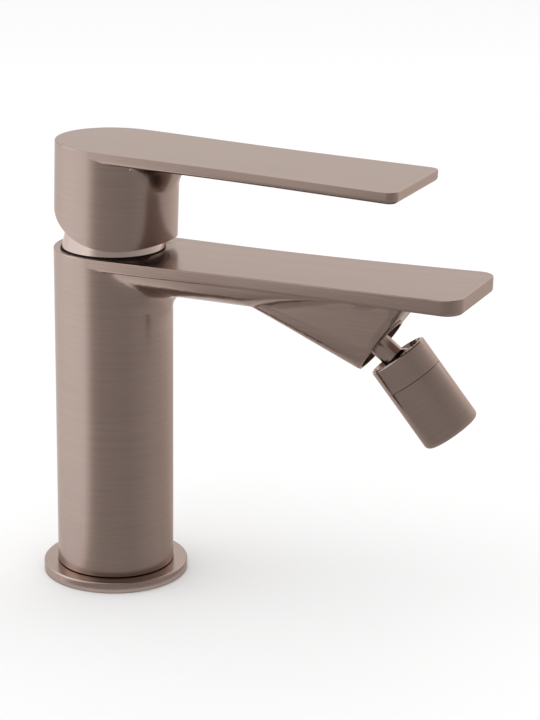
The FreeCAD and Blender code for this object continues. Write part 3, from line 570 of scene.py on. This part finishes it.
def woven_tree():
    """A round screen of wires that pass over and under one another, cut to a disc."""
    weave = Growth("woven_screen", ("Radius", "Pitch", "Wire"))
    sizes = weave.sizes
    rows = weave.sum_up("FLOOR", weave.sum_up("DIVIDE", sizes["Radius"], sizes["Pitch"]))
    reach = weave.times(rows, sizes["Pitch"])
    places = weave.add("GeometryNodeMeshLine", {
        "Count": weave.plus(weave.times(rows, 2.0), 1.0),
        "Start Location": weave.put_together(Y=weave.times(reach, -1.0)),
        "Offset": weave.put_together(Y=sizes["Pitch"]),
    })
    unit = weave.add("GeometryNodeCurvePrimitiveLine", {
        "Start": (-1.0, 0.0, 0.0), "End": (1.0, 0.0, 0.0),
    })
    here = weave.add("GeometryNodeInputPosition", {}).outputs[0]
    spot = weave.taken_apart(here)
    square = weave.sum_up(
        "SUBTRACT",
        weave.sum_up("POWER", sizes["Radius"], 2.0),
        weave.sum_up("POWER", spot["Y"], 2.0),
    )
    chord = weave.sum_up("SQRT", weave.sum_up("MAXIMUM", square, 0.0))
    laid = weave.add("GeometryNodeInstanceOnPoints", {
        "Points": places.outputs[0],
        "Instance": unit.outputs[0],
        "Scale": weave.put_together(X=chord, Y=1.0, Z=1.0),
    })
    real = weave.add("GeometryNodeRealizeInstances", {"Geometry": laid.outputs[0]})
    step = weave.times(sizes["Pitch"], WIRE_STEP)
    fine_line = {"Curve": real.outputs[0], "Length": step}
    fine = weave.add("GeometryNodeResampleCurve", fine_line, mode="LENGTH")
    waves = [
        weave.sum_up("COSINE", weave.sum_up(
            "DIVIDE", weave.times(spot[letter], math.pi), sizes["Pitch"]
        ))
        for letter in ("X", "Y")
    ]
    wave = weave.times(*waves)
    layers = []
    for turn, side in ((0.0, 1.0), (math.pi / 2, -1.0)):
        turned = weave.add("GeometryNodeTransform", {
            "Geometry": fine.outputs[0], "Rotation": (0.0, 0.0, turn),
        })
        lift = weave.times(wave, weave.times(sizes["Wire"], side))
        woven = weave.add("GeometryNodeSetPosition", {
            "Geometry": turned.outputs[0], "Offset": weave.put_together(Z=lift),
        })
        layers.append(woven.outputs[0])
    section = weave.circle(WIRE_SIDES, sizes["Wire"])
    wires = weave.bar(weave.joined(layers), section, True)
    rim_section = weave.circle(RIM_SIDES, weave.times(sizes["Wire"], RIM_THICKNESS))
    rim = weave.bar(weave.circle(RIM_POINTS, sizes["Radius"]), rim_section, False)
    weave.give(weave.joined((wires, rim)), "steel")
    return weave.tree


def grown(name, tree, sizes, finish_name, place):
    """Runs a geometry tree with the given sizes and puts the new piece in its place."""
    piece = new_piece(name, bpy.data.meshes.new(name), finish_name)
    modifier = piece.modifiers.new("grown", "NODES")
    modifier.node_group = tree
    for item in tree.interface.items_tree:
        if item.in_out == "INPUT":
            modifier[item.identifier] = sizes[item.name]
    settle(piece)
    piece.data.transform(place)
    return piece


# Every solid is shown by its smooth copy, except the screen, which is woven from wire.
for node in frame["nodes"]:
    if node != "aerator_screen":
        finished = smooth_copy(node)
        settle(finished)
        if node in ROUND_WALLS:
            true_round_wall(finished, *ROUND_WALLS[node])
        put_on(finished, node)

# The woven screen keeps inside the solid one. In wire radii, this is half the solid's thickness,
# and how far the rim's middle stays inside the solid's edge.
HALF_THICKNESS = 2.05
RIM_INSET = 2.0
SCREEN_PITCH = 0.0009

casing_turn = UPRIGHT.rotation_difference(CASING_AXIS).to_matrix().to_4x4()
screen_points = [point.co - BALL_CENTRE for point in frame["nodes"]["aerator_screen"].data.vertices]
screen_depths = [point.dot(CASING_AXIS) for point in screen_points]
screen_middle = (min(screen_depths) + max(screen_depths)) / 2
screen_half = (max(screen_depths) - min(screen_depths)) / 2
screen_radius = max(
    (point - CASING_AXIS * depth).length for point, depth in zip(screen_points, screen_depths)
)
wire_radius = screen_half / HALF_THICKNESS
screen = grown(
    "woven_screen",
    woven_tree(),
    {
        "Radius": screen_radius - wire_radius * RIM_INSET,
        "Pitch": SCREEN_PITCH,
        "Wire": wire_radius,
    },
    "steel",
    Matrix.Translation(BALL_CENTRE + CASING_AXIS * screen_middle) @ casing_turn,
)
put_on(screen, "aerator_screen")

# The threads inside the column: the hole's x, y and top, and the thread's radius, length and pitch.
THREADS = {
    "thread_inlet_near": (0.0045, -0.007, 0.104, 0.0045, 0.0105, 0.001),
    "thread_inlet_far": (0.0045, 0.007, 0.104, 0.0045, 0.0105, 0.001),
    "thread_stud": (-0.009, 0.0, 0.102, 0.0034, 0.0085, 0.00125),
}
# The ridge's radius as a share of the pitch, and the gap between the thread and the hole's top.
RIDGE_SHARE = 0.34
THREAD_GAP = 0.0005

brass_thread = thread_tree()
for name, (x, y, top, radius, length, pitch) in THREADS.items():
    thread = grown(
        name,
        brass_thread,
        {"Radius": radius, "Length": length, "Pitch": pitch, "Ridge": pitch * RIDGE_SHARE},
        "plain_brass",
        Matrix.Translation((x, y, top - length - THREAD_GAP)),
    )
    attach(thread, "column")


FLOOR_RADIUS = 5.0
FLOOR_SIDES = 96
# The floor lies this far below the tap's foot.
FLOOR_DROP = 0.0001
FLOOR_LIGHT = (0.95, 0.95, 0.95)
FLOOR_CLOUDS = (3.0, 2.0, 0.5)
# The tone of the floor's clouds, as a share of the light one.
FLOOR_CLOUD_SHADE = 0.985
FLOOR_ROUGHNESS = (0.65, 0.75)
FLOOR_SHEEN = 0.2


def floor_finish():
    """A dull pale floor with very faint clouds."""
    finish = Finish("pale_floor")
    clouds = finish.noise(finish.place, *FLOOR_CLOUDS)
    darker = tuple(value * FLOOR_CLOUD_SHADE for value in FLOOR_LIGHT)
    finish.set_shader(
        Base_Color=finish.blend(clouds, opaque(FLOOR_LIGHT), opaque(darker)),
        Roughness=finish.spread(clouds, *ROUGH_RANGE, *FLOOR_ROUGHNESS),
        Specular_IOR_Level=FLOOR_SHEEN,
    )
    return finish.material


def make_floor():
    mesh = bpy.data.meshes.new("floor")
    shape = bmesh.new()
    bmesh.ops.create_circle(shape, cap_ends=True, radius=FLOOR_RADIUS, segments=FLOOR_SIDES)
    shape.to_mesh(mesh)
    shape.free()
    mesh.materials.append(floor_finish())
    floor = new_object("floor", mesh)
    floor.location.z = -FLOOR_DROP


# The grey screen's brightness, by the angle in degrees from the camera's direction to the right.
SCREEN_SHADES = (
    (-52.0, 1.0), (-47.0, 0.85), (-40.0, 0.55), (-32.0, 0.43), (-20.0, 0.38), (28.0, 0.35),
    (62.0, 0.43), (92.0, 0.54), (112.0, 0.7), (135.0, 0.95), (150.0, 0.98), (163.0, 0.98),
)
# The grey screen's outline, from the tap outwards and up: the radius, the height and the share of
# its brightness that is left there.
SCREEN_PROFILE = (
    (0.030, 0.0006, 1.0), (0.1, 0.002, 1.0), (0.25, 0.002, 1.0), (0.4, 0.002, 1.0),
    (0.9, 0.002, 1.0), (1.2, 0.04, 1.0), (1.35, 0.18, 1.0), (1.4, 0.45, 1.0),
    (1.4, 1.2, 0.8), (1.2, 1.8, 0.45), (0.8, 2.2, 0.35), (0.35, 2.35, 0.35),
)
SCREEN_COLUMNS = 116
SCREEN_COLOUR = (1.0, 0.93, 0.89)
# Close to the tap, within this radius, the screen loses a share of its brightness behind it. The
# loss starts at one angle and is full some degrees on.
NEAR_TAP = 0.3
NEAR_LOSS = 0.22
LOSS_FROM = 80.0
LOSS_OVER = 40.0


def screen_shade(angle):
    """The grey screen's brightness at an angle, in between the given ones."""
    for (low, low_shade), (high, high_shade) in zip(SCREEN_SHADES, SCREEN_SHADES[1:]):
        if low <= angle <= high:
            return low_shade + (high_shade - low_shade) * (angle - low) / (high - low)


def glowing_finish():
    """Glows as brightly as the mesh's own points say."""
    material = bpy.data.materials.new("grey_screen")
    material.use_nodes = True
    glowing = Nodes(material.node_tree)
    glowing.tree.nodes.clear()
    strength = glowing.add("ShaderNodeAttribute", {}, attribute_name="glow").outputs["Fac"]
    lit = {"Color": opaque(SCREEN_COLOUR), "Strength": strength}
    light = glowing.add("ShaderNodeEmission", lit)
    glowing.add("ShaderNodeOutputMaterial", {"Surface": light.outputs[0]})
    return material


def make_grey_screen():
    """A grey screen that curves up from the floor round the tap, seen only in the metal."""
    ahead = Vector((view_back.x, view_back.y, 0.0)).normalized()
    mesh = bpy.data.meshes.new("grey_screen")
    shape = bmesh.new()
    glow = shape.verts.layers.float.new("glow")
    columns = []
    first, last = SCREEN_SHADES[0][0], SCREEN_SHADES[-1][0]
    for index in range(SCREEN_COLUMNS + 1):
        angle = first + (last - first) * index / SCREEN_COLUMNS
        turn = math.radians(angle)
        way = ahead * math.cos(turn) + view_right * math.sin(turn)
        loss = NEAR_LOSS * min(max((angle - LOSS_FROM) / LOSS_OVER, 0.0), 1.0)
        column = []
        for radius, height, share in SCREEN_PROFILE:
            vertex = shape.verts.new((way.x * radius, way.y * radius, height))
            near_loss = loss if radius < NEAR_TAP else 0.0
            vertex[glow] = screen_shade(angle) * share * (1.0 - near_loss)
            column.append(vertex)
        columns.append(column)
    for left, right in zip(columns, columns[1:]):
        for low in range(len(SCREEN_PROFILE) - 1):
            shape.faces.new((left[low], right[low], right[low + 1], left[low + 1]))
    shape.to_mesh(mesh)
    shape.free()
    mesh.materials.append(glowing_finish())
    screen_object = new_object("grey_screen", mesh)
    screen_object.visible_camera = False
    screen_object.visible_diffuse = False
    screen_object.visible_shadow = False


# The lamps: the place, the point it shines at, the side of its square and its power in watts.
LAMPS = {
    "top_light": ((0.05, -0.1, 1.4), (0.05, 0.0, 0.08), 1.1, 1.4),
    "left_light": ((-1.0, -0.35, 0.75), (0.03, 0.0, 0.08), 0.8, 2.0),
    "back_light": ((0.3, 1.1, 0.8), (0.05, 0.0, 0.1), 0.8, 0.7),
}


def make_lamp(name, place, aim, side, power):
    data = bpy.data.lights.new(name, "AREA")
    data.shape = "SQUARE"
    data.size = side
    data.energy = power
    lamp = new_object(name, data)
    lamp.location = place
    lamp.rotation_euler = (Vector(place) - Vector(aim)).to_track_quat("Z", "Y").to_euler()


def make_surround():
    """Even white light all round."""
    world = bpy.data.worlds.new("studio")
    bpy.context.scene.world = world
    world.use_nodes = True
    surround = Nodes(world.node_tree)
    surround.tree.nodes.clear()
    background = surround.add("ShaderNodeBackground", {"Color": (1.0, 1.0, 1.0, 1.0)})
    surround.add("ShaderNodeOutputWorld", {"Surface": background.outputs[0]})


def make_camera():
    """The camera that took the photograph, as solved from the tap's own lines."""
    data = bpy.data.cameras.new("photo_view")
    data.sensor_width = SENSOR_WIDTH
    data.lens = FOCAL_PIXELS * SENSOR_WIDTH / PHOTO_HEIGHT
    data.clip_start = NEAREST_SEEN
    camera = new_object("photo_view", data)
    right = view_right * math.cos(VIEW_ROLL) + view_up * math.sin(VIEW_ROLL)
    up = view_up * math.cos(VIEW_ROLL) - view_right * math.sin(VIEW_ROLL)
    turn = Matrix((right, up, view_back)).transposed().to_4x4()
    shift = view_right * VIEW_RIGHT_SHIFT + view_up * VIEW_UP_SHIFT
    place = VIEW_TARGET + view_back * VIEW_DISTANCE + shift
    camera.matrix_world = Matrix.Translation(place) @ turn
    bpy.context.scene.camera = camera


make_floor()
make_grey_screen()
for name, about in LAMPS.items():
    make_lamp(name, *about)
make_surround()
make_camera()
bpy.context.scene.view_settings.view_transform = "Standard"
